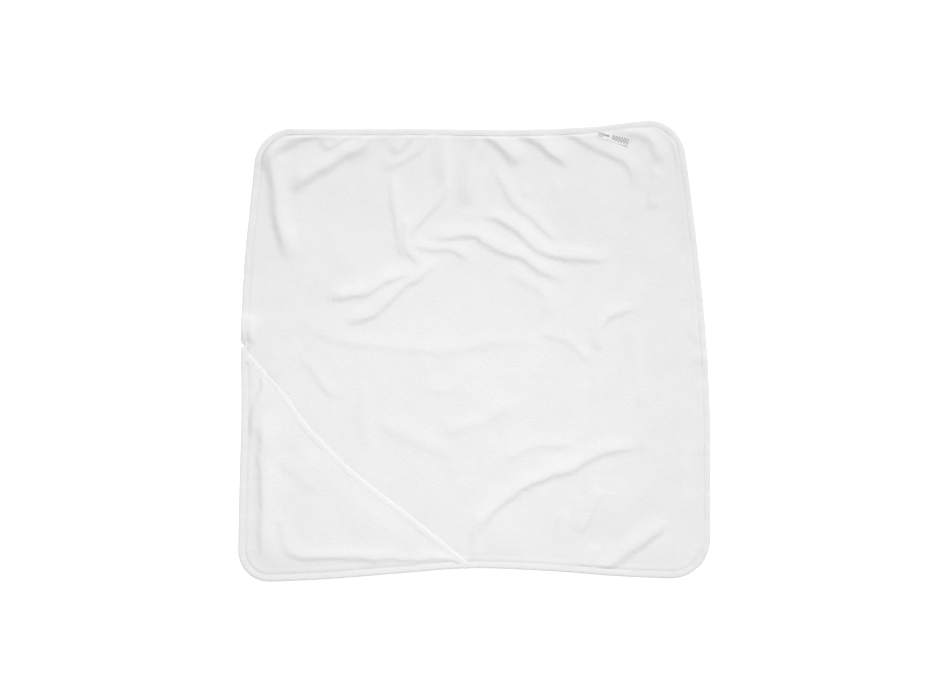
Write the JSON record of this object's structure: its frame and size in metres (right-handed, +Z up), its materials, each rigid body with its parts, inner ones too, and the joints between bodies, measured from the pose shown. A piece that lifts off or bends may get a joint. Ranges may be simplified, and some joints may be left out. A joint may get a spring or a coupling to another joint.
{
  "type": "hooded baby towel",
  "caption": "Square terry baby towel laid flat, with rounded bound edges, a triangular hood panel over one corner, a woven label and a care label.",
  "frame": {"origin": "centre of the towel's bounding box, on the surface that the towel lies on", "axes": "+X right and +Y away from the hood's side, as seen from above with the hood at the near left; +Z up"},
  "size_m": [0.7654, 0.7472, 0.0093],
  "materials": {
    "terry": "white looped cotton terry",
    "hood_terry": "white looped cotton terry, very slightly warmer",
    "binding_tape": "white knitted cotton tape",
    "thread": "white polyester sewing thread",
    "woven_label": "white woven satin with a pale grey motif",
    "care_label": "white printed satin, printed lines left out"
  },
  "bodies": {
    "towel": {"terry_body": "terry", "edge_binding": "binding_tape", "edge_seam_needle_thread": "thread", "edge_seam_bobbin_thread": "thread"},
    "hood": {"hood_panel": "hood_terry", "hood_mouth_binding": "binding_tape", "mouth_seam_needle_thread": "thread", "mouth_seam_bobbin_thread": "thread"},
    "woven_label": {"woven_label": "woven_label"},
    "care_label": {"care_label": "care_label"}
  },
  "joints": [
    {"name": "hood_opening", "type": "hinge", "parent": "towel", "child": "hood", "pos_m": [-0.385, -0.375, 0.005], "axis": [0.7226, -0.6913, 0], "range_deg": [0, 14]},
    {"name": "woven_label_flip", "type": "hinge", "parent": "towel", "child": "woven_label", "pos_m": [0.228, 0.35751, 0.00525], "axis": [-0.9927, -0.1209, 0], "range_deg": [0, 178]},
    {"name": "care_label_flip", "type": "hinge", "parent": "towel", "child": "care_label", "pos_m": [-0.36781, 0.04, 0.0001], "axis": [0.0215, 0.9998, 0], "range_deg": [0, 178]}
  ]
}
